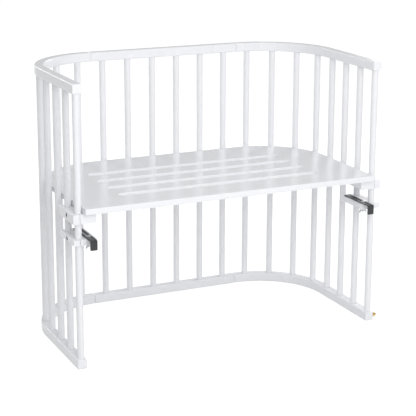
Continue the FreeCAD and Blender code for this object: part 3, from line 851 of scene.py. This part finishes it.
def build_wing_nut(side):
    """A wing nut under the hook clamp, with its wings hanging down and out."""
    node = f"wing_nut_{side}"
    turn, middle = nut_turn(node)
    bore = STUD_RADIUS + BORE_GAP
    profile = [
        (bore, 0),
        (bore, -HUB_HEIGHT),
        (HUB_TIP_RADIUS - HUB_CHAMFER, -HUB_HEIGHT),
        (HUB_TIP_RADIUS, -HUB_HEIGHT + HUB_CHAMFER),
        (HUB_RADIUS, -HUB_CHAMFER),
        (HUB_RADIUS - HUB_CHAMFER, 0),
        (bore, 0),
    ]
    hub = loft("hub", turned_rings(profile, HUB_STEPS), capped=False)
    nut = join(f"winged_nut_{side}", [hub, wing("wing_a", 1), wing("wing_b", -1)])
    nut.data.transform(Matrix.Rotation(turn, 4, "Z"))
    nut.data.transform(Matrix.Translation((middle.x, middle.y, NUT_HIGH.z)))
    dress(nut, NUT_STEEL, f"nut_{side}", node)


def build_hooks():
    """Hooks, their bolts and wing nuts on both sides."""
    for side, sign in SIDES.items():
        build_hook(side, sign)
        build_hook_bolt(side, sign)
        build_wing_nut(side)


# Brass knob


def build_knob():
    """The turned brass knob on the right foot: a flange, a taper and a rounded nose."""
    low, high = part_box("brass_knob")
    middle = (low + high) / 2
    face = ARM_HIGH.x
    reach = high.x - face
    flange = (high.y - low.y) / 2
    profile = [
        (0, 0),
        (flange - KNOB_CHAMFER, 0),
        (flange, KNOB_CHAMFER),
        (flange, KNOB_FLANGE - KNOB_CHAMFER),
        (flange - KNOB_CHAMFER, KNOB_FLANGE),
    ]
    profile += arc((KNOB_TIP_RADIUS - KNOB_NOSE, reach - KNOB_NOSE), KNOB_NOSE, 0, 90, CORNER_STEPS)
    profile += [(0, reach)]
    knob = loft("turned_knob", turned_rings(profile))
    knob.data.transform(Matrix.Rotation(math.pi / 2, 4, "Y"))
    knob.data.transform(Matrix.Translation((face, middle.y, middle.z)))
    dress(knob, BRASS, "frame", "brass_knob")


# Tenons


def dress_tenons():
    """The hidden tenons keep their solids, in plain beech."""
    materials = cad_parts["seam_tenons"].data.materials
    materials.clear()
    materials.append(BEECH)


# Stage, light and camera


def calculate(tree, operation, first, second):
    """A Math node on two values, each a socket or a number."""
    node = tree.nodes.new("ShaderNodeMath")
    node.operation = operation
    for socket, value in zip(node.inputs, (first, second)):
        if isinstance(value, float):
            socket.default_value = value
        else:
            tree.links.new(value, socket)
    return node.outputs[0]


def direct_view(tree):
    """1 where a camera, glossy or transmission ray arrives, else 0."""
    rays = tree.nodes.new("ShaderNodeLightPath").outputs
    seen = calculate(tree, "MAXIMUM", rays["Is Camera Ray"], rays["Is Glossy Ray"])
    return calculate(tree, "MAXIMUM", seen, rays["Is Transmission Ray"])


def fade(tree, value, band, from_level, to_level):
    """A level that eases from one to another as a value passes a band."""
    node = tree.nodes.new("ShaderNodeMapRange")
    node.interpolation_type = "SMOOTHSTEP"
    tree.links.new(value, node.inputs["Value"])
    for name, number in zip(("From Min", "From Max", "To Min", "To Max"), (*band, from_level, to_level)):
        node.inputs[name].default_value = number
    return node.outputs["Result"]


def matt_grey(tree, level):
    """A diffuse shader of one grey."""
    node = tree.nodes.new("ShaderNodeBsdfDiffuse")
    node.inputs["Color"].default_value = (level, level, level, 1)
    return node.outputs["BSDF"]


def floor_material():
    """Pale matt for bounced light. Seen directly, a glow near white with a faint matt share that keeps
    the object's shadow."""
    material = bpy.data.materials.new("floor_white")
    material.use_nodes = True
    tree = material.node_tree
    tree.nodes.clear()
    glow = tree.nodes.new("ShaderNodeEmission")
    glow.inputs["Strength"].default_value = FLOOR_GLOW
    seen = tree.nodes.new("ShaderNodeAddShader")
    tree.links.new(matt_grey(tree, FLOOR_SHADE), seen.inputs[0])
    tree.links.new(glow.outputs["Emission"], seen.inputs[1])
    mix = tree.nodes.new("ShaderNodeMixShader")
    sources = (direct_view(tree), matt_grey(tree, FLOOR_GREY), seen.outputs["Shader"])
    for source, socket in zip(sources, mix.inputs):
        tree.links.new(source, socket)
    output = tree.nodes.new("ShaderNodeOutputMaterial")
    tree.links.new(mix.outputs["Shader"], output.inputs["Surface"])
    return material


def build_floor():
    """A wide plain white floor."""
    corners = [(-1, -1), (1, -1), (1, 1), (-1, 1)]
    mesh = bpy.data.meshes.new("floor")
    mesh.from_pydata([Vector((x, y, 0)) * FLOOR_REACH for x, y in corners], [], [(0, 1, 2, 3)])
    floor = make_object("floor", mesh)
    floor.data.materials.append(floor_material())


def build_world():
    """A studio: white at the horizon, soft grey around, a bright wall low in front and a lit ceiling.
    Seen directly, nothing in it is brighter than white."""
    world = bpy.data.worlds.new("studio")
    bpy.context.scene.world = world
    world.use_nodes = True
    tree = world.node_tree
    place = tree.nodes.new("ShaderNodeTexCoord")
    split = tree.nodes.new("ShaderNodeSeparateXYZ")
    tree.links.new(place.outputs["Generated"], split.inputs["Vector"])
    back, rise = split.outputs["Y"], split.outputs["Z"]
    ahead = calculate(tree, "MAXIMUM", calculate(tree, "MULTIPLY", back, -1.0), 0.0)
    facing = calculate(tree, "POWER", ahead, 2.0)
    wall = calculate(tree, "MULTIPLY", facing, fade(tree, rise, WALL_BAND, WALL, 0.0))
    level = calculate(tree, "ADD", wall, fade(tree, rise, CEILING_BAND, AROUND, CEILING))
    level = calculate(tree, "MAXIMUM", level, fade(tree, rise, HORIZON_BAND, WHITE, 0.0))
    lowered = calculate(tree, "MULTIPLY", direct_view(tree), UNCAPPED - WHITE)
    level = calculate(tree, "MINIMUM", level, calculate(tree, "SUBTRACT", UNCAPPED, lowered))
    background = tree.nodes["Background"]
    background.inputs["Color"].default_value = (1, 1, 1, 1)
    tree.links.new(level, background.inputs["Strength"])


def area_lamp(name, place, size, power, shiny=True):
    """A soft square lamp that points at the crib and isn't seen itself; a shiny one shows in
    reflections."""
    lamp = bpy.data.lights.new(name, "AREA")
    lamp.size = size
    lamp.energy = power
    holder = bpy.data.objects.new(name, lamp)
    holder.location = place
    holder.rotation_euler = (LAMP_AIM - Vector(place)).to_track_quat("-Z", "Y").to_euler()
    holder.visible_camera = False
    holder.visible_glossy = shiny
    bpy.context.scene.collection.objects.link(holder)


def build_lamps():
    """A lamp in front and two behind; sizes in metres, powers in watts."""
    area_lamp("front", place=(-0.25, -2.5, 1.7), size=1.4, power=24.0, shiny=False)
    area_lamp("back_left", place=(-0.95, 2.75, 1.62), size=1.1, power=20.0)
    area_lamp("back_right", place=(2.2, 1.4, 1.3), size=0.9, power=22.0)


def build_camera():
    """The photograph's camera: a long lens from the front left, with its frame shifted down a little."""
    lens = bpy.data.cameras.new("camera")
    lens.sensor_width = CAMERA_SENSOR
    lens.lens = CAMERA_LENS
    lens.shift_x, lens.shift_y = CAMERA_SHIFT
    camera = bpy.data.objects.new("camera", lens)
    camera.location = CAMERA_PLACE
    camera.rotation_euler = [math.radians(angle) for angle in CAMERA_TURN]
    bpy.context.scene.collection.objects.link(camera)
    bpy.context.scene.camera = camera


build_rails()
build_rods()
build_board()
build_clamps()
build_hooks()
build_knob()
dress_tenons()

build_floor()
build_world()
build_lamps()
build_camera()
bpy.context.scene.view_settings.view_transform = "Standard"
